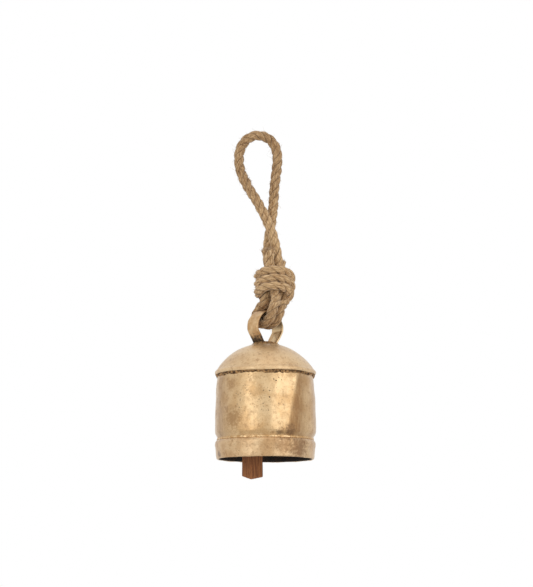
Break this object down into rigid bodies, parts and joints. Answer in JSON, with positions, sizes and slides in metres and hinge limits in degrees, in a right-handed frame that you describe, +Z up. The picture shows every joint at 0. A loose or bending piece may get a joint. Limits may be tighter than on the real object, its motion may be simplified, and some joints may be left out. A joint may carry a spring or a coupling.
{
  "type": "hanging yard bell",
  "caption": "Rustic sheet-metal bell with a domed crown, a flat strap handle, a square wooden clapper and a knotted jute rope hanger with a long loop.",
  "frame": {"origin": "inside of the rope's top loop, at the point where a hook carries the bell", "axes": "+Z up along the hanging bell, +X to the right and +Y away from the front; the hook passes along Y"},
  "size_m": [0.1004, 0.1004, 0.3531],
  "materials": {
    "bell_brass": "aged, hammered satin brass coat on sheet iron",
    "strap_brass": "satin brass coat, blackened at one foot",
    "braze": "rough, dark, oxidised braze",
    "jute_rope": "fuzzy three-strand jute",
    "clapper_wood": "rough sawn, oiled red-brown hardwood",
    "iron_wire": "dark, slightly rusty iron wire"
  },
  "bodies": {
    "rope": {"rope_loop": "jute_rope", "rope_knot": "jute_rope", "rope_tail_front": "jute_rope", "rope_tail_side": "jute_rope"},
    "bights": {"rope_bight_near": "jute_rope", "rope_bight_far": "jute_rope"},
    "bell": {"strap_handle": "strap_brass", "handle_braze": "braze", "crown_dome": "bell_brass", "crown_braze": "braze", "body_shell": "bell_brass", "rim_braze": "braze", "rim_band": "bell_brass", "clapper_staple": "iron_wire", "staple_braze": "braze"},
    "link": {"clapper_link": "iron_wire"},
    "clapper": {"clapper": "clapper_wood"}
  },
  "joints": [
    {"name": "rope_sway", "type": "hinge", "parent": "rope", "child": "bights", "pos_m": [0.015, 0.005, -0.142], "axis": [0.7071, 0.7071, 0], "range_deg": [-15, 15]},
    {"name": "bell_swing", "type": "hinge", "parent": "bights", "child": "bell", "pos_m": [0.0057, 0, -0.1925], "axis": [0.7071, -0.7071, 0], "range_deg": [-35, 35]},
    {"name": "link_swing", "type": "hinge", "parent": "bell", "child": "link", "pos_m": [-0.007, 0, -0.2225], "axis": [0.7826, 0.6225, 0], "range_deg": [-14, 9]},
    {"name": "clapper_swing", "type": "hinge", "parent": "link", "child": "clapper", "pos_m": [-0.007, 0, -0.2425], "axis": [-0.6225, 0.7826, 0], "range_deg": [-16, 9]}
  ]
}
